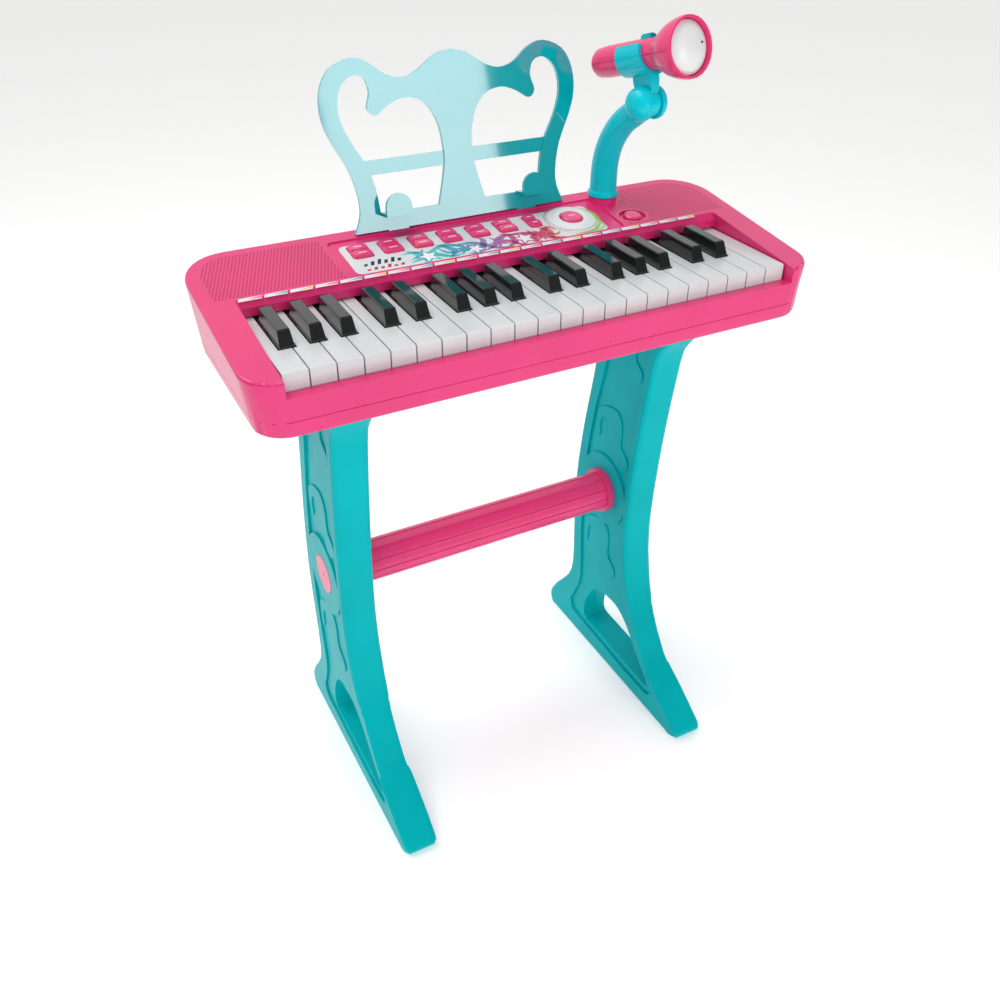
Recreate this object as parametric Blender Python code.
"""Toy electronic keyboard on two legs, with a music rest and a microphone on a curved arm.

Sizes are in millimetres and become metres when a mesh is made (MM). The frame is +X to the
player's right, +Y away from the player and +Z up, with its origin on the floor at the centre
of the feet. Most sizes follow the width of one white key (PITCH) or the sloping top (DECK).
"""

import math

import bmesh
import bpy
from mathutils import Matrix, Vector

MM = 0.001
GAP = 0.3  # smallest gap between neighbouring pieces
WALL = 2.5  # wall thickness of the case mouldings

# Keys
PITCH = 17.3
WHITE_KEYS = 22
KEY_SLIT = 0.8
KEY_TOP = 440.0
KEY_DEPTH = 13.0
KEY_SHELL = 1.5
KEY_FRONT = -76.0
KEY_TAIL = 26.0
KEY_PIVOT = Vector((0.0, 20.0, 430.0))
RAIL_RADIUS = 1.2
NOTCH_RADIUS = RAIL_RADIUS + 0.6
OCTAVE = "FGABCDE"  # the lowest key is an F
BLACK_SHIFT = {"F": -3.0, "G": 0.0, "A": 3.0, "C": -2.2, "D": 2.2}
BLACK_LIP = 10.9
BLACK_BODY = 10.3
BLACK_CROWN = 7.0
BLACK_FRONT = -44.3
BLACK_REAR = -0.5
BLACK_RISE = 10.4
BLACK_SLIT = 0.6

# Case
CASE_BOTTOM = 400.7
PARTING = 412.3
SHELF = 428.4
CASE_FRONT = -85.3
CASE_BACK = 80.0
FOOT_HALF = 209.5  # half width at the bottom
PARTING_HALF = 210.3
TOP_HALF = 214.0
FRONT_RADIUS = 22.0
BACK_RADIUS = 34.0
CORNER_STEPS = 8
EDGE_ROUND = 2.4
WELL_HALF = WHITE_KEYS * PITCH / 2 + 0.9
WELL_REAR = 8.3
WELL_FRONT = KEY_FRONT - 0.8
DECK_EDGE = 451.3  # height of the top at the rear of the key well
SLOPE = 0.13
DECK_ANGLE = math.atan(SLOPE)
LABEL_BAND = 3.7  # depth of the slanted band behind the keys
RECESS = (-110.7, 110.7, 14.5, 66.4)
RECESS_DEPTH = 1.2

# Controls
ROCKERS = 7
ROCKER_FIRST = -91.7
ROCKER_STEP = 23.1
ROCKER_Y = 47.8
ROCKER_HALF = (7.5, 9.1)
LAST_ROCKER_HALF = 5.1
ROCKER_RISE = 1.9
ROCKER_SWING = 0.2  # extra room in front of and behind a tipping button
BOARD_DROP = 7.0  # from the panel's face down to the circuit board
DIAL = Vector((78.0, 41.5))
DIAL_BUTTON = 8.6
POWER = Vector((126.0, 29.0))
POWER_POCKET = (11.0, 9.2, 2.0)
POWER_BUTTON = 6.8

# Stand
LEG_MIDDLE = 135.6
LEG_THICK = 28.7
LEG_EDGE = 3.2
TOE_START = -100.0  # in front of this the foot is rounder
TOE_ROUND = 2.2
PANEL_DEPTH = 2.0
TENON = (-20.0, 46.0, 10.8, 15.6)  # front, back, half thickness, height
BAR_CENTRE = Vector((33.0, 196.0))
BAR_RADIUS = 17.5
BAR_FLANGE = 20.5
BAR_SPIGOT = 16.8
BAR_CAP = 3.0  # thickness of the closed ends
BAR_EYE = 1.3  # small hole in the middle of each end
BOSS_RADIUS = 35.5

# Music rest
REST_BASE = Vector((0.0, 69.9, 460.6))
REST_LEAN = math.radians(10)
REST_THICK = 3.0
BAND_LOW, BAND_HIGH = 38.0, 48.0
LIP_X, LIP_HALF = 55.5, 10.0

# Microphone and its arm
SOCKET = Vector((119.4, 62.4, 461.0))
SOCKET_BORE = 7.2
ARM_YAW = math.radians(7.5)
ARM_RADIUS = 10.6
ARM_REACH = 42.7
HINGE_Z = 539.0
MIC_TILT = math.radians(15.5)
MIC_LIFT = 31.5
HANDLE_RADIUS = 11.0
FORK_GAP = 4.1


# ---------------------------------------------------------------- helpers

def clear_scene():
    for item in list(bpy.data.objects):
        bpy.data.objects.remove(item, do_unlink=True)


def plastic(name, colour, roughness):
    made = bpy.data.materials.new(name)
    made.use_nodes = True
    shader = made.node_tree.nodes["Principled BSDF"]
    shader.inputs["Base Color"].default_value = (*colour, 1.0)
    shader.inputs["Roughness"].default_value = roughness
    shader.inputs["Metallic"].default_value = 0.0
    made.diffuse_color = (*colour, 1.0)
    return made


def solid(name, bm, material=None):
    """An object from a bmesh in millimetres, with its faces pointing out."""
    bmesh.ops.recalc_face_normals(bm, faces=bm.faces)
    bmesh.ops.scale(bm, vec=(MM, MM, MM), verts=bm.verts)
    mesh = bpy.data.meshes.new(name)
    bm.to_mesh(mesh)
    bm.free()
    if material:
        mesh.materials.append(material)
    made = bpy.data.objects.new(name, mesh)
    bpy.context.collection.objects.link(made)
    return made


def boolean(target, tool, operation):
    """Applies one exact boolean and deletes the tool."""
    step = target.modifiers.new(operation.lower(), "BOOLEAN")
    step.operation = operation
    step.solver = "EXACT"
    step.object = tool
    bpy.context.view_layer.update()
    shape = target.evaluated_get(bpy.context.evaluated_depsgraph_get())
    mesh = bpy.data.meshes.new_from_object(shape)
    target.modifiers.clear()
    target.data = mesh
    bpy.data.objects.remove(tool, do_unlink=True)
    return target


def cut(target, *tools):
    for tool in tools:
        boolean(target, solid("tool", tool), "DIFFERENCE")
    return target


def join(target, *tools):
    for tool in tools:
        boolean(target, solid("tool", tool), "UNION")
    return target


def finish(made, material, angle=35.0):
    made.data.materials.clear()
    made.data.materials.append(material)
    made.data.shade_smooth()
    made.data.set_sharp_from_angle(angle=math.radians(angle))
    return made


def put_origin(made, point):
    """Moves the object's origin to a point in millimetres, the joint's axis."""
    place = Vector(point) * MM
    made.data.transform(Matrix.Translation(-place))
    made.location = place
    return made


def loft(rings):
    """A closed solid through rings of points, capped at both ends."""
    bm = bmesh.new()
    loops = [[bm.verts.new(point) for point in ring] for ring in rings]
    count = len(loops[0])
    for low, high in zip(loops, loops[1:]):
        for i in range(count):
            j = (i + 1) % count
            bm.faces.new((low[i], low[j], high[j], high[i]))
    bm.faces.new(loops[0])
    bm.faces.new(loops[-1])
    return bm


def prism(outline, low, high, axis="Z"):
    """An outline extruded along an axis: (x, y) along Z, (y, z) along X, (x, z) along Y."""
    places = {
        "Z": lambda a, b, c: (a, b, c),
        "X": lambda a, b, c: (c, a, b),
        "Y": lambda a, b, c: (a, c, b),
    }
    place = places[axis]
    return loft([[place(a, b, level) for a, b in outline] for level in (low, high)])


def box(x0, x1, y0, y1, z0, z1):
    return prism([(x0, y0), (x1, y0), (x1, y1), (x0, y1)], z0, z1)


def arc(centre, radius, start, end, steps):
    """Points on an arc, angles in degrees; radius may be a pair for an oval."""
    across, along = radius if isinstance(radius, tuple) else (radius, radius)
    points = []
    for i in range(steps + 1):
        turn = math.radians(start + (end - start) * i / steps)
        points.append((centre[0] + across * math.cos(turn), centre[1] + along * math.sin(turn)))
    return points


def circle(centre, radius, steps=24):
    return arc(centre, radius, 0, 360 * (steps - 1) / steps, steps - 1)


def rounded_rectangle(x0, x1, y0, y1, front, back, steps=4):
    """Corner radii: front for the y0 corners, back for the y1 corners."""
    return (
        arc((x1 - front, y0 + front), front, -90, 0, steps)
        + arc((x1 - back, y1 - back), back, 0, 90, steps)
        + arc((x0 + back, y1 - back), back, 90, 180, steps)
        + arc((x0 + front, y0 + front), front, 180, 270, steps)
    )


def rounded(points, radius, steps=3):
    """A polygon with each corner replaced by a curve that starts radius from the corner."""
    made = []
    count = len(points)
    for i in range(count):
        before, here, after = (Vector(points[(i + k) % count]) for k in (-1, 0, 1))
        back, ahead = before - here, after - here
        start = here + back.normalized() * min(radius, back.length * 0.45)
        end = here + ahead.normalized() * min(radius, ahead.length * 0.45)
        for k in range(steps + 1):
            t = k / steps
            made.append(tuple((1 - t) ** 2 * start + 2 * t * (1 - t) * here + t * t * end))
    return made


def smooth_path(points, steps):
    """A Catmull-Rom curve through points, with steps pieces between neighbours."""
    ends = [points[0], *points, points[-1]]
    made = []
    for a, b, c, d in zip(ends, ends[1:], ends[2:], ends[3:]):
        a, b, c, d = (Vector(p) for p in (a, b, c, d))
        for k in range(steps):
            t = k / steps
            bend = (2 * a - 5 * b + 4 * c - d) * t * t + (3 * b - a - 3 * c + d) * t**3
            made.append(tuple(0.5 * (2 * b + (c - a) * t + bend)))
    made.append(tuple(points[-1]))
    return made


def lathe(profile, steps=24):
    """A solid turned about the Y axis from (radius, forward) pairs; forward is -Y."""
    bm = bmesh.new()
    loops = []
    for radius, forward in profile:
        if radius < 0.001:
            loops.append([bm.verts.new((0.0, -forward, 0.0))])
            continue
        loops.append([bm.verts.new((a, -forward, b)) for a, b in circle((0, 0), radius, steps)])
    for low, high in zip(loops, loops[1:]):
        for i in range(steps):
            j = (i + 1) % steps
            if len(low) == 1:
                bm.faces.new((low[0], high[j], high[i]))
            elif len(high) == 1:
                bm.faces.new((low[i], low[j], high[0]))
            else:
                bm.faces.new((low[i], low[j], high[j], high[i]))
    for end in (loops[0], loops[-1]):
        if len(end) > 1:
            bm.faces.new(end)
    return bm


def moved(bm, matrix):
    bmesh.ops.transform(bm, matrix=matrix, verts=bm.verts)
    return bm


def deck_z(y):
    return DECK_EDGE + SLOPE * (y - WELL_REAR)


def deck_frame(x, y, drop=0.0):
    """The matrix whose origin is on the sloping top and whose Z axis is its normal."""
    turn = Matrix.Rotation(DECK_ANGLE, 4, "X")
    return Matrix.Translation((x, y, deck_z(y))) @ turn @ Matrix.Translation((0, 0, -drop))


# ---------------------------------------------------------------- keys

def white_outline(letter, last):
    """Plan of one white key, its left edge at x = 0, with room for the black keys beside it."""
    left, right = KEY_SLIT / 2, PITCH - KEY_SLIT / 2
    room = BLACK_LIP / 2 + BLACK_SLIT
    shoulder = BLACK_FRONT - BLACK_SLIT
    before = OCTAVE[OCTAVE.index(letter) - 1]
    points = [(left, KEY_FRONT), (right, KEY_FRONT)]
    if letter in BLACK_SHIFT and not last:
        edge = PITCH + BLACK_SHIFT[letter] - room
        points += [(right, shoulder), (edge, shoulder), (edge, KEY_TAIL)]
    else:
        points += [(right, KEY_TAIL)]
    if before in BLACK_SHIFT:
        edge = BLACK_SHIFT[before] + room
        points += [(edge, KEY_TAIL), (edge, shoulder), (left, shoulder)]
    else:
        points += [(left, KEY_TAIL)]
    return points


def hollow_from_below(bm, thickness, depth):
    bm.faces.ensure_lookup_table()
    bm.normal_update()
    floor = min(bm.faces, key=lambda face: face.calc_center_median().z)
    bmesh.ops.inset_region(bm, faces=[floor], thickness=thickness, use_even_offset=True)
    made = bmesh.ops.extrude_face_region(bm, geom=[floor])
    verts = [item for item in made["geom"] if isinstance(item, bmesh.types.BMVert)]
    bmesh.ops.translate(bm, vec=(0, 0, depth), verts=verts)
    bmesh.ops.delete(bm, geom=[floor], context="FACES")
    return bm


def rail_notch():
    """The slot under every key that sits over the pivot rail."""
    y, z = KEY_PIVOT.y, KEY_PIVOT.z
    top = arc((y, z), NOTCH_RADIUS, 0, 180, 4)
    low = KEY_TOP - KEY_DEPTH - 1
    outline = [(y + NOTCH_RADIUS, low), *top, (y - NOTCH_RADIUS, low)]
    return prism(outline, -PITCH, 2 * PITCH, "X")


def white_mesh(letter, last, material):
    bm = prism(white_outline(letter, last), KEY_TOP - KEY_DEPTH, KEY_TOP)
    bmesh.ops.recalc_face_normals(bm, faces=bm.faces)
    front_top = [
        edge
        for edge in bm.edges
        if all(v.co.z > KEY_TOP - 1 and v.co.y < KEY_FRONT + 1 for v in edge.verts)
    ]
    bmesh.ops.bevel(bm, geom=front_top, offset=1.6, segments=2, profile=0.5, affect="EDGES")
    hollow_from_below(bm, KEY_SHELL, KEY_DEPTH - 2.0)
    made = cut(solid(f"white_{letter}", bm), rail_notch())
    return finish(made, material)


def black_mesh(material):
    """One black key about x = 0: a low body, a flared lip and a tapering crown."""
    top = KEY_TOP + 0.5
    half = BLACK_BODY / 2
    body = box(-half, half, BLACK_FRONT + 0.3, KEY_TAIL, KEY_TOP - KEY_DEPTH + 2, KEY_TOP - 0.4)
    hollow_from_below(body, KEY_SHELL, KEY_DEPTH - 4.5)
    made = solid("black", body)

    def ring(width, front, rear, z):
        return [(-width, front, z), (width, front, z), (width, rear, z), (-width, rear, z)]

    lip, crown = BLACK_LIP / 2, BLACK_CROWN / 2
    front, rear, peak = BLACK_FRONT, BLACK_REAR, KEY_TOP + BLACK_RISE
    head = loft([
        ring(lip, front, rear, KEY_TOP - 0.6),
        ring(lip, front, rear, top),
        ring(lip - 0.7, front + 0.7, rear, top + 0.5),
        ring(crown + 0.6, front + 5.0, rear - 0.3, peak - 0.7),
        ring(crown, front + 5.9, rear - 0.8, peak),
    ])
    join(made, head)
    cut(made, rail_notch())
    return finish(made, material)


def make_keys(white, black):
    meshes = {}
    left = -WHITE_KEYS * PITCH / 2
    pivot_move = Matrix.Translation(-KEY_PIVOT * MM)

    def key(name, mesh, x):
        made = bpy.data.objects.new(name, mesh)
        made.location = Vector((x, KEY_PIVOT.y, KEY_PIVOT.z)) * MM
        bpy.context.collection.objects.link(made)

    def stored(label, made):
        meshes[label] = made.data
        made.data.transform(pivot_move)
        bpy.data.objects.remove(made, do_unlink=True)

    stored("black", black_mesh(black))
    count = 0
    for i in range(WHITE_KEYS):
        letter = OCTAVE[i % 7]
        last = i == WHITE_KEYS - 1
        label = letter + ("_end" if last else "")
        if label not in meshes:
            stored(label, white_mesh(letter, last, white))
        key(f"white_key_{i + 1:02d}", meshes[label], left + i * PITCH)
        if letter in BLACK_SHIFT and not last:
            count += 1
            x = left + (i + 1) * PITCH + BLACK_SHIFT[letter]
            key(f"black_key_{count:02d}", meshes["black"], x)


# ---------------------------------------------------------------- case

def case_ring(half, inset, level, steps=CORNER_STEPS):
    """The case's plan at one level; level is a height or a function of y."""
    outline = rounded_rectangle(
        -half + inset, half - inset, CASE_FRONT + inset, CASE_BACK - inset,
        FRONT_RADIUS - inset, BACK_RADIUS - inset, steps,
    )
    height = level if callable(level) else lambda y: level
    return [(x, y, height(y)) for x, y in outline]


def top_level(drop):
    return lambda y: deck_z(y) - drop


def upper_shell():
    outer = loft([
        case_ring(PARTING_HALF, 0.0, PARTING),
        case_ring(TOP_HALF, 0.0, top_level(EDGE_ROUND)),
        case_ring(TOP_HALF, 0.3 * EDGE_ROUND, top_level(0.3 * EDGE_ROUND)),
        case_ring(TOP_HALF, EDGE_ROUND, top_level(0.0)),
    ])
    made = solid("upper_case", outer)
    inner = solid("inner", loft([
        case_ring(PARTING_HALF, WALL, PARTING - 1),
        case_ring(TOP_HALF, WALL, top_level(WALL + 2)),
        case_ring(TOP_HALF, WALL + 2, top_level(WALL)),
    ]))
    wall = WELL_HALF + WALL
    cut(inner, box(-wall, wall, CASE_FRONT - 1, WELL_REAR + WALL, PARTING - 5, 480))
    boolean(made, inner, "DIFFERENCE")
    return made


def cut_key_well(made):
    half, low = WELL_HALF, PARTING - 5
    skirt = KEY_TOP + 1.2
    band = [
        (WELL_REAR - 0.1, deck_z(WELL_REAR) - 4.3),
        (WELL_REAR + LABEL_BAND, deck_z(WELL_REAR + LABEL_BAND) + 0.01),
        (WELL_REAR + LABEL_BAND, 470.0),
        (WELL_REAR - 0.1, 470.0),
    ]
    cut(
        made,
        box(-half, half, WELL_FRONT, WELL_REAR, low, 480),
        box(-half, half, WELL_REAR - 1, WELL_REAR + WALL + 1, low, skirt),
        box(-half, half, CASE_FRONT + WALL, WELL_FRONT + 1, low, SHELF - WALL),
        box(-half, half, CASE_FRONT - 5, WELL_FRONT + 1, SHELF, 480),
        prism(band, -half, half, "X"),
    )


def deck_cutter(outline, low, high, x, y):
    """A hole or pocket square to the sloping top, its outline about (x, y)."""
    return moved(prism(outline, low, high), deck_frame(x, y))


def rocker_places():
    for i in range(ROCKERS):
        half = LAST_ROCKER_HALF if i == ROCKERS - 1 else ROCKER_HALF[0]
        yield i, ROCKER_FIRST + i * ROCKER_STEP, half


def make_upper_case(material):
    made = upper_shell()
    cut_key_well(made)
    x0, x1, y0, y1 = RECESS
    middle_x, middle_y = (x0 + x1) / 2, (y0 + y1) / 2
    half_x, half_y = (x1 - x0) / 2, (y1 - y0) / 2
    panel = rounded_rectangle(-half_x, half_x, -half_y, half_y, 5, 5)
    cut(made, deck_cutter(panel, -RECESS_DEPTH, 6, middle_x, middle_y))
    for _, x, half in rocker_places():
        slot_y = ROCKER_HALF[1] + GAP + ROCKER_SWING
        hole = rounded_rectangle(-half - GAP, half + GAP, -slot_y, slot_y, 2.5, 2.5, 3)
        cut(made, deck_cutter(hole, -8, 4, x, ROCKER_Y))
    cut(made, deck_cutter(circle((0, 0), DIAL_BUTTON + GAP), -8, 4, *DIAL))
    wide, deep, drop = POWER_POCKET
    join(made, deck_cutter(circle((0, 0), (wide + 1.5, deep + 1.5)), -WALL - drop, -1, *POWER))
    cut(made, deck_cutter(circle((0, 0), (wide, deep)), -drop, 4, *POWER))
    cut(made, deck_cutter(circle((0, 0), POWER_BUTTON + GAP), -8, 4, *POWER))
    for side in (-1, 1):
        slot = [(side * 53 - 8.4, -1.8), (side * 53 + 8.4, -1.8),
                (side * 53 + 8.4, 1.8), (side * 53 - 8.4, 1.8)]
        frame = Matrix.Translation(REST_BASE) @ Matrix.Rotation(-REST_LEAN, 4, "X")
        cut(made, moved(prism(slot, -10, 10), frame))
    ring = prism(circle(SOCKET.xy, 11.2, 28), deck_z(SOCKET.y) - 3, SOCKET.z)
    sleeve = prism(circle(SOCKET.xy, SOCKET_BORE + 2.2, 28), SOCKET.z - 19, SOCKET.z - 1)
    join(made, ring, sleeve)
    cut(made, prism(circle(SOCKET.xy, SOCKET_BORE, 28), SOCKET.z - 22, SOCKET.z + 3))
    return finish(made, material)


def make_lower_case(material):
    made = solid("lower_case", loft([
        case_ring(FOOT_HALF, 3.4, CASE_BOTTOM),
        case_ring(FOOT_HALF, 1.0, CASE_BOTTOM + 0.9),
        case_ring(FOOT_HALF, 0.0, CASE_BOTTOM + 3.3),
        case_ring(PARTING_HALF, 0.0, PARTING - GAP),
    ]))
    floor = CASE_BOTTOM + WALL + 0.2
    cut(made, loft([
        case_ring(FOOT_HALF, WALL + 0.6, floor),
        case_ring(PARTING_HALF, WALL, PARTING + 1),
    ]))
    front, back, half, height = TENON
    slack, wall = GAP, 2.2
    inside = floor - 1
    for side in (-1, 1):
        x = side * LEG_MIDDLE
        reach = half + slack + wall
        join(made, box(x - reach, x + reach, front - slack - wall, back + slack + wall,
                       inside, CASE_BOTTOM + height + slack + wall))
    join(made, box(-35, 35, 4, 75, inside, 421.8))
    y, z = KEY_PIVOT.y, KEY_PIVOT.z
    rail = [(y + RAIL_RADIUS, inside), *arc((y, z), RAIL_RADIUS, 0, 180, 6),
            (y - RAIL_RADIUS, inside)]
    rail_half = WELL_HALF - 1.2
    join(made, prism(rail, -rail_half, rail_half, "X"))
    join(made, box(-rail_half, rail_half, -70, -67.6, inside, 420.4))
    for side in (-1, 1):
        x = side * LEG_MIDDLE
        cut(made, box(x - half - slack, x + half + slack, front - slack, back + slack,
                      CASE_BOTTOM - 5, CASE_BOTTOM + height + slack))
    for x, y in screw_places():
        join(made, prism(circle((x, y), 4.6, 16), inside, PARTING - 1.0))
    for x, y in screw_places():
        cut(made, prism(circle((x, y), 3.0, 16), CASE_BOTTOM - 5, PARTING - 4.0))
    cut(made, box(-28, 28, 10, 68, CASE_BOTTOM - 5, 419.4),
        box(-32, 32, 6.6, 71.8, CASE_BOTTOM - 5, 403.7),
        box(-7, 7, 4.2, 8, CASE_BOTTOM - 5, 403.7))
    return finish(made, material)


def screw_places():
    return [(side * x, y) for side in (-1, 1) for x, y in ((198, -62), (196, 30), (75, 64))]


def make_battery_door(material):
    """A plate with a round rear edge on its hinge line and a finger tongue in front."""
    y, z, radius = 70.2, 402.2, 1.2
    edge = [(7.0, z - radius), *arc((y, z), radius, -90, 90, 6), (7.0, z + radius)]
    made = solid("battery_door", prism(edge, -31.6, 31.6, "X"))
    join(made, box(-6.6, 6.6, 4.6, 7.5, z - radius, z + radius))
    return put_origin(finish(made, material), (0, y, z))


def make_board(material):
    """The circuit board hangs square under the control panel."""
    left, right, front, back = -112.0, 100.0, 16.0, 66.0
    ear, ear_back = 138.0, 40.0
    outline = [(left, front), (ear, front), (ear, ear_back), (right, ear_back),
               (right, back), (left, back)]
    bm = prism(outline, -BOARD_DROP - RECESS_DEPTH - 1.6, -BOARD_DROP - RECESS_DEPTH)
    for vert in bm.verts:
        vert.co.z += deck_z(vert.co.y)
    return finish(solid("main_board", bm), material)


def make_speaker(material):
    """A small round driver under the left grille: rim, basket and magnet in one outline."""
    profile = [(0.0, 0.0), (6.0, 0.0), (8.0, 4.5), (19.0, 1.2), (20.0, 0.0), (23.0, 0.0),
               (23.0, 1.8), (21.0, 2.0), (12.5, 9.5), (12.5, 17.5), (0.0, 17.5)]
    bm = lathe(profile)
    stand = Matrix.Rotation(math.radians(90), 4, "X")
    frame = deck_frame(-160, 47, WALL + 0.4)
    return finish(solid("speaker", moved(bm, frame @ stand)), material)


# ---------------------------------------------------------------- controls

def pad(half_x, y0, y1, low, high):
    """A soft-cornered push pad."""
    corners = rounded_rectangle(-half_x, half_x, y0, y1, 2.2, 2.2, 2)
    middle = Vector((0, (y0 + y1) / 2))
    shrink = [tuple(middle + (Vector(p) - middle) * 0.88) for p in corners]
    return loft([
        [(x, y, low) for x, y in corners],
        [(x, y, high - 0.8) for x, y in corners],
        [(x, y, high) for x, y in shrink],
    ])


def make_rocker(index, x, half, material):
    """Two pads on one plate; it tips on a rounded rib that stands on the board."""
    y0, y1 = -ROCKER_HALF[1], ROCKER_HALF[1]
    drop = RECESS_DEPTH
    axle = -drop - BOARD_DROP + GAP + 1.4
    made = solid("rocker", pad(half, y0, y1, -drop - 3.2, -drop + 0.9))
    join(
        made,
        pad(half - 0.2, y0 + 0.2, -0.9, -drop - 2, -drop + ROCKER_RISE + 0.6),
        pad(half - 0.2, 0.9, y1 - 0.2, -drop - 2, -drop + ROCKER_RISE),
        prism([(1.4, -drop - 3), *reversed(arc((0, axle), 1.4, 180, 360, 6)),
               (-1.4, -drop - 3)], -half + 1, half - 1, "X"),
    )
    finish(made, material)
    made.name = f"rocker_{index + 1}"
    put_origin(made, (0, 0, axle))
    frame = deck_frame(x, ROCKER_Y)
    made.matrix_world = Matrix.Translation((frame @ Vector((0, 0, axle))) * MM) @ (
        Matrix.Rotation(DECK_ANGLE, 4, "X"))
    return made


def make_push_button(name, place, radius, rise, drop, material):
    """A round button with a flange under the panel and a stem above the board."""
    top = -drop + rise
    stem = -RECESS_DEPTH - BOARD_DROP + 1.9
    under = -WALL - drop - GAP
    profile = [(0.0, stem), (2.5, stem), (2.5, under - 1.4), (radius + 1.6, under - 1.4),
               (radius + 1.6, under), (radius, under), (radius, top - 1.0),
               (radius * 0.86, top - 0.2), (radius * 0.4, top), (0.0, top)]
    bm = lathe(profile, 20)
    upright = Matrix.Rotation(math.radians(-90), 4, "X")
    made = solid(name, moved(bm, upright))
    finish(made, material)
    made.matrix_world = Matrix.Translation(deck_frame(*place).translation * MM) @ (
        Matrix.Rotation(DECK_ANGLE, 4, "X"))
    return made


# ---------------------------------------------------------------- stand

def leg_outline():
    """Side view of a leg, (y, z): a leaning post that splays into a long foot."""
    front = [(-50, 400.4), (-38, 373), (-27, 358), (-21.5, 328), (-16, 286), (-11.5, 240),
             (-8.5, 185), (-10, 155), (-14, 131), (-26, 90), (-54, 48), (-80, 31), (-99, 19)]
    toe = [(-117.5, 9), (-113, 0)]
    heel = [(114.5, 0), (117.1, 13)]
    rear = [(105, 31), (84, 58), (77, 82), (78.5, 120), (80.5, 176), (75, 230), (69, 266),
            (61, 309), (57, 355), (56, 400.4)]
    forward = smooth_path(front, 2)
    backward = smooth_path(rear, 2)
    ends = rounded_run(toe, forward[-1], heel[0], 7), rounded_run(heel, toe[-1], backward[0], 8)
    return forward + ends[0] + ends[1] + backward


def rounded_run(points, before, after, radius):
    """The given corners rounded, without the neighbours they are rounded against."""
    ring = [before, *points, after]
    steps = 3
    curve = rounded(ring, radius, steps)
    return curve[steps + 1:-(steps + 1)]


def inner_panel():
    """The sunk panel on a leg's side faces; its rear border is the widest."""
    front = [(-17, 362), (-12, 330), (-8, 286), (-3, 236), (-2, 190), (-5, 150), (-12, 124),
             (-26, 88), (-52, 52)]
    rear = [(75, 32), (62, 60), (60, 84), (64, 130), (65, 180), (61, 231), (53, 278),
            (43, 320), (38, 360)]
    foot = [(-74, 26), (-66, 16), (-16, 16), (71, 20)]
    return [*smooth_path(front, 2), *rounded_run(foot, front[-1], rear[0], 7),
            *smooth_path(rear, 2), (37, 394), (-19, 394)]


def foot_hole():
    return rounded([(-66, 23), (52, 25), (51, 46), (38, 71), (25, 79), (-4, 80.5), (-22, 70),
                    (-37, 53)], 9, 3)


def make_leg(name, side, material):
    middle, half = side * LEG_MIDDLE, LEG_THICK / 2
    low, high = middle - half, middle + half
    outline = leg_outline()
    steps = [(0.0, 1.0), (0.25, 0.45), (1.0, 0.0)]
    levels = [(low + across * LEG_EDGE, share) for across, share in steps]
    levels += [(high - across * LEG_EDGE, share) for across, share in reversed(steps)]
    rings = []
    for x, share in levels:
        inset = share * LEG_EDGE
        rings.append([(x, y + side_push(y, z, inset), z + floor_push(z, inset))
                      for y, z in outline])
    made = solid(name, loft(rings))
    cut(made, prism(foot_hole(), low - 5, high + 5, "X"))
    panel = inner_panel()
    boss = circle(BAR_CENTRE, BOSS_RADIUS, 32)
    for x0, x1 in ((low - 5, low + PANEL_DEPTH), (high - PANEL_DEPTH, high + 5)):
        sunk = solid("sunk", prism(panel, x0, x1, "X"))
        cut(sunk, prism(boss, x0 - 1, x1 + 1, "X"))
        boolean(made, sunk, "DIFFERENCE")
    inside = [(-6, 420), (-6, 330), (0, 286), (6, 236), (7, 190), (4, 150), (0, 128), (3, 100),
              (50, 100), (57, 130), (58, 180), (54, 231), (46, 278), (36, 320), (33, 420)]
    wall = PANEL_DEPTH + WALL
    hollow = solid("hollow", prism(rounded(inside, 5, 2), low + wall, high - wall, "X"))
    cut(hollow, prism(circle(BAR_CENTRE, BAR_SPIGOT + 3), low, high, "X"))
    front, back, tenon_half, height = TENON
    join(made, box(middle - tenon_half, middle + tenon_half, front, back, 398,
                   CASE_BOTTOM + height))
    boolean(made, hollow, "DIFFERENCE")
    cut(made, prism(circle(BAR_CENTRE, BAR_SPIGOT + GAP, 28), low - 5, high + 5, "X"))
    return finish(made, material)


def side_push(y, z, inset):
    """How far a point at a leg's edge moves towards its middle; the toe is the roundest."""
    if y < TOE_START:
        return inset * TOE_ROUND
    middle = 34 if z > 90 else 0
    return inset if y < middle else -inset


def floor_push(z, inset):
    return inset * 0.4 if z < 0.01 else 0.0


def make_crossbar(material):
    """A fluted tube with a flange and a spigot at each end; the spigots pass through the legs."""
    inner_face = LEG_MIDDLE - LEG_THICK / 2
    outer_face = LEG_MIDDLE + LEG_THICK / 2
    flutes = []
    ribs = 12
    for i in range(ribs):
        turn = 360 / ribs * i
        flutes += arc(BAR_CENTRE, BAR_RADIUS, turn, turn + 0.62 * 360 / ribs, 2)
        flutes += arc(BAR_CENTRE, BAR_RADIUS - 0.9, turn + 0.7 * 360 / ribs,
                      turn + 0.92 * 360 / ribs, 1)
    flange = inner_face - GAP
    made = solid("crossbar", prism(flutes, -flange + 1, flange - 1, "X"))
    spigot = outer_face + 0.2
    for side in (-1, 1):
        ends = sorted((side * (flange - 6), side * flange))
        join(made, prism(circle(BAR_CENTRE, BAR_FLANGE, 32), *ends, "X"))
        ends = sorted((side * (flange - 8), side * spigot))
        join(made, prism(circle(BAR_CENTRE, BAR_SPIGOT, 28), *ends, "X"))
    bore = spigot - BAR_CAP
    cut(made, prism(circle(BAR_CENTRE, BAR_SPIGOT - 2.5, 20), -bore, bore, "X"),
        prism(circle(BAR_CENTRE, BAR_EYE, 12), -spigot - 5, spigot + 5, "X"))
    return finish(made, material)


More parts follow.
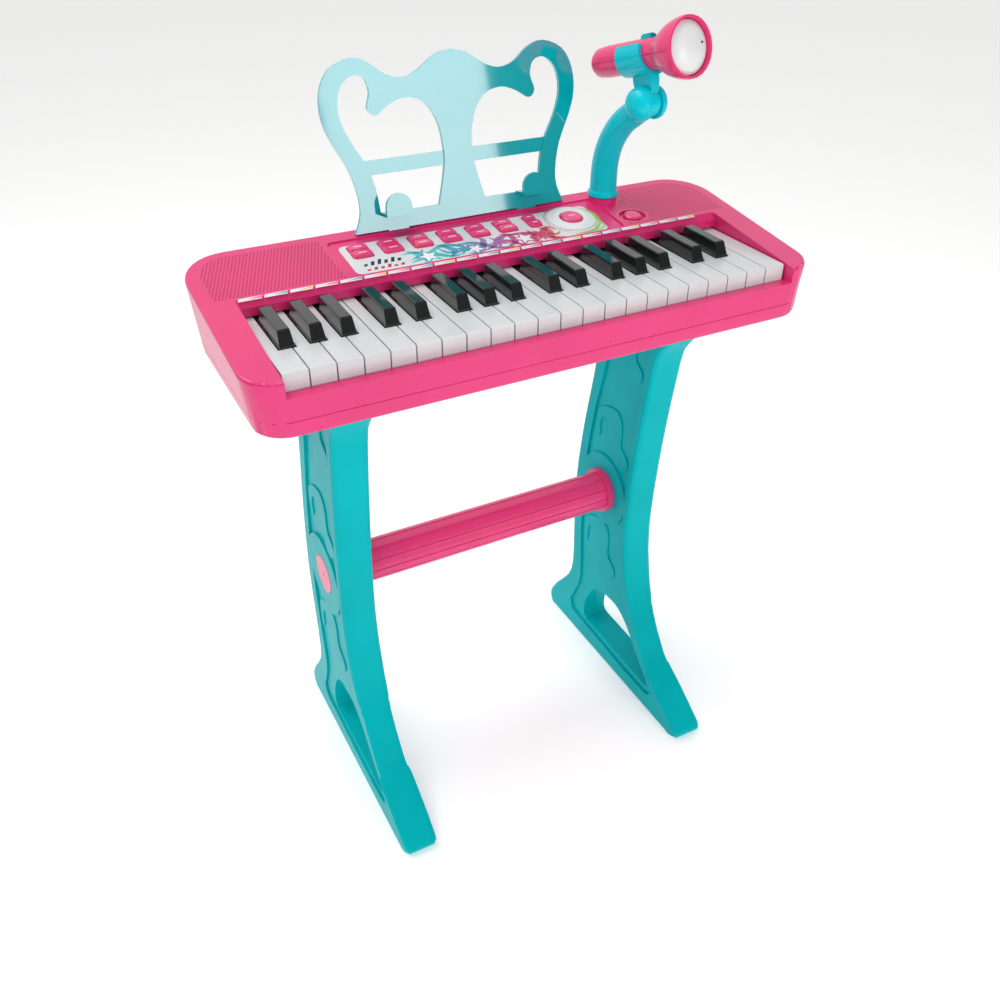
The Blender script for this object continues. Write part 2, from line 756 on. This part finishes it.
# ---------------------------------------------------------------- music rest

def rest_half_outline():
    """Right half of the rest's outline, (x, up the plate), from the foot to the middle."""
    return smooth_path([(86.5, -0.8), (81.4, 11), (80.8, 24), (85.3, 43), (95.2, 63),
                        (100, 78), (99, 94.5), (91, 108.3), (75, 114.8), (62, 111.2),
                        (50.5, 102.8), (37.5, 99.7), (25, 103.8), (12, 112), (0, 114.8)], 3)


def rest_window():
    """A heart-like window whose curl hooks inwards, (x, up the plate)."""
    return smooth_path([(65.5, 11), (67.2, 29), (72, 45.5), (82, 63.5), (87.4, 80), (84.8, 95.5),
                        (75, 103.6), (66, 101.2), (63.3, 92), (66.3, 82), (61, 77),
                        (51, 82.6), (38, 86.5), (24, 82.5), (14.6, 69), (11.6, 52),
                        (12.6, 35), (19, 11)], 3)


def make_music_rest(material):
    half = REST_THICK / 2
    right = rest_half_outline()
    left = [(-x, v) for x, v in reversed(right[:-1])]
    made = solid("music_rest", prism(right + left, -half, half, "Y"))
    window = rest_window()
    for side in (-1, 1):
        cut(made, prism([(side * x, v) for x, v in window], -10, 10, "Y"))
        band = sorted((side * 9.0, side * 76.0))
        join(made, box(band[0], band[1], -0.6, half, BAND_LOW, BAND_HIGH))
        join(made, box(side * 53 - 8, side * 53 + 8, -half, half, -9, 3))
        shelf = box(side * LIP_X - LIP_HALF, side * LIP_X + LIP_HALF, -13.5, 0, 9.5, 11.9)
        lip = arc((side * LIP_X, 15.5), LIP_HALF, 0, 180, 8)
        lip = [(side * LIP_X + LIP_HALF, 9.5), *lip, (side * LIP_X - LIP_HALF, 9.5)]
        join(made, shelf, prism(lip, -13.5, -11.1, "Y"))
    finish(made, material)
    made.matrix_world = Matrix.Translation(REST_BASE * MM) @ (
        Matrix.Rotation(-REST_LEAN, 4, "X"))
    return made


# ---------------------------------------------------------------- microphone

def arm_path():
    """Centre line of the arm in its own plane, (forward, up) from the socket."""
    bend, turn, straight = 59.0, 51.0, 17.1
    path = [(0.0, 4.0)]
    for k in range(8):
        angle = math.radians(turn * k / 7)
        path.append((bend * (1 - math.cos(angle)), straight + bend * math.sin(angle)))
    return path + [(ARM_REACH, HINGE_Z - SOCKET.z)]


def tube(path, radii, steps=18):
    """A tube in the YZ plane through (forward, up) points, forward being -Y."""
    rings = []
    for i, (forward, up) in enumerate(path):
        a, b = path[max(i - 1, 0)], path[min(i + 1, len(path) - 1)]
        along = Vector((0, -(b[0] - a[0]), b[1] - a[1])).normalized()
        side = Vector((1, 0, 0))
        across = along.cross(side)
        centre = Vector((0, -forward, up))
        rings.append([centre + side * x + across * y for x, y in circle((0, 0), radii[i], steps)])
    return loft(rings)


def sphere(centre, radii, columns=16, rows=8):
    bm = bmesh.new()
    bmesh.ops.create_uvsphere(bm, u_segments=columns, v_segments=rows, radius=1.0)
    scale = Matrix.Diagonal((*radii, 1.0))
    turn = Matrix.Rotation(math.radians(90), 4, "Y")
    return moved(bm, Matrix.Translation(centre) @ scale @ turn)


def make_mic_arm(material):
    """Spigot, flared collar and bent tube, ending in a fork of two domed cheeks."""
    path = arm_path()
    radii = [ARM_RADIUS - 0.1 * i for i in range(len(path))]
    made = solid("mic_arm", tube(path, radii))
    collar = lathe([(0, 0.5), (11.4, 0.5), (12.0, 1.2), (12.0, 3.4), (10.7, 5.6), (0, 5.6)])
    upright = Matrix.Rotation(math.radians(-90), 4, "X")
    spigot = prism(circle((0, 0), SOCKET_BORE - 0.15, 28), -14.5, 2)
    join(made, moved(collar, upright), spigot)
    hinge = Vector((0, -ARM_REACH, HINGE_Z - SOCKET.z))
    for side in (-1, 1):
        join(made, sphere(hinge + Vector((side * 7.5, 0, 0)), (6.8, 9.2, 9.2)))
    slot = prism(circle((hinge.y, hinge.z), 10.7, 28), -FORK_GAP, FORK_GAP, "X")
    above = box(-FORK_GAP, FORK_GAP, hinge.y - 30, hinge.y + 13.5, hinge.z - 1, hinge.z + 20)
    pin = prism(circle((hinge.y, hinge.z), 2.6, 16), -8, 8, "X")
    cut(made, slot, above, pin)
    finish(made, material)
    made.matrix_world = Matrix.Translation(SOCKET * MM) @ Matrix.Rotation(ARM_YAW, 4, "Z")
    return made


def hinge_point():
    forward = Matrix.Rotation(ARM_YAW, 3, "Z") @ Vector((0, -ARM_REACH, 0))
    return Vector((SOCKET.x + forward.x, SOCKET.y + forward.y, HINGE_Z))


def mic_frame():
    """Matrix in metres with its origin on the hinge and -Y along the microphone."""
    turn = Matrix.Rotation(ARM_YAW, 4, "Z") @ Matrix.Rotation(-MIC_TILT, 4, "X")
    return Matrix.Translation(hinge_point() * MM) @ turn


def make_mic_clamp(material):
    """A tongue between the fork's cheeks that carries an open collar round the handle."""
    half = FORK_GAP - 0.4
    inner, outer = HANDLE_RADIUS + GAP, HANDLE_RADIUS + GAP + 2.2
    opening = 52
    ring = arc((0, MIC_LIFT), outer, 90 + opening, 450 - opening, 24)
    ring += reversed(arc((0, MIC_LIFT), inner, 90 + opening, 450 - opening, 24))
    made = solid("mic_clamp", prism(ring, -13.0, 16.5, "Y"))
    slant = [(-13.2, 14.0), (-13.2, MIC_LIFT + outer + 1), (-6.5, MIC_LIFT + outer + 1)]
    cut(made, prism(slant, -outer - 1, outer + 1, "X"))
    plate = [(-9.8, MIC_LIFT - inner - 1.2), (9.8, MIC_LIFT - inner - 1.2), (9.8, 14.5),
             (8.0, 6.0), (-8.0, 6.0), (-9.8, 14.5)]
    tongue = prism(circle((0, 0), 9.6, 28), -half, half, "X")
    pin = prism(circle((0, 0), 2.3, 16), -7.6, 7.6, "X")
    join(made, prism(plate, -half, half, "X"), tongue, pin)
    finish(made, material)
    made.matrix_world = mic_frame()
    return made


def make_mic_body(material):
    """A hollow handle that flares into a bell, open at the front for the face."""
    r = HANDLE_RADIUS
    profile = [(0, -51.0), (4.5, -50.6), (8.4, -48.8), (10.3, -45.5), (r, -36.0), (r, 17.0),
               (12.2, 20.0), (14.4, 24.5), (17.4, 30.5), (19.4, 37.0), (20.3, 43.0),
               (20.0, 46.8), (18.2, 46.8), (17.9, 42.0), (15.4, 31.5), (12.0, 24.0),
               (9.0, 18.0), (9.0, -43.0), (0, -48.8)]
    made = solid("mic_body", moved(lathe(profile, 28), Matrix.Translation((0, 0, MIC_LIFT))))
    top = MIC_LIFT + r
    cut(made, box(-3.2, 3.2, -15.6, -1.0, top - 1.3, top + 4))
    finish(made, material)
    made.matrix_world = mic_frame()
    return made


def make_mic_face(material):
    """The domed white front of the microphone."""
    profile = [(0, 49.6), (6, 49.1), (11, 47.8), (15, 45.7), (17.5, 43.4), (17.5, 42.4),
               (14.6, 44.2), (8.0, 46.9), (0, 47.9)]
    made = solid("mic_face", moved(lathe(profile, 28), Matrix.Translation((0, 0, MIC_LIFT))))
    finish(made, material)
    made.matrix_world = mic_frame()
    return made


def make_mic_switch(material):
    """A ribbed slider in the handle's top slot."""
    top = MIC_LIFT + HANDLE_RADIUS
    made = solid("mic_switch", box(-2.8, 2.8, -11.2, -1.4, top - 1.0, top + 1.6))
    for y in (-9.4, -7.2, -5.0, -2.8):
        join(made, box(-2.4, 2.4, y - 0.5, y + 0.5, top + 1.0, top + 2.6))
    finish(made, material)
    made.matrix_world = mic_frame()
    return made


# ---------------------------------------------------------------- the object

def build():
    clear_scene()
    pink = plastic("pink", (0.75, 0.055, 0.21), 0.32)
    teal = plastic("teal", (0.0, 0.46, 0.5), 0.34)
    rest_teal = plastic("rest_teal", (0.01, 0.45, 0.49), 0.12)
    white = plastic("white", (0.78, 0.79, 0.8), 0.3)
    black = plastic("black", (0.012, 0.012, 0.013), 0.22)
    board = plastic("board", (0.03, 0.18, 0.07), 0.5)
    metal = plastic("speaker_grey", (0.08, 0.08, 0.09), 0.45)

    make_keys(white, black)
    make_upper_case(pink)
    make_lower_case(pink)
    make_battery_door(pink)
    make_board(board)
    make_speaker(metal)
    for index, x, half in rocker_places():
        make_rocker(index, x, half, pink)
    make_push_button("play_button", DIAL, DIAL_BUTTON, 3.4, RECESS_DEPTH, pink)
    make_push_button("power_button", POWER, POWER_BUTTON, 3.2, POWER_POCKET[2], pink)
    make_leg("left_leg", -1, teal)
    make_leg("right_leg", 1, teal)
    make_crossbar(pink)
    make_music_rest(rest_teal)
    make_mic_arm(teal)
    make_mic_clamp(teal)
    make_mic_body(pink)
    make_mic_face(white)
    make_mic_switch(teal)


build()
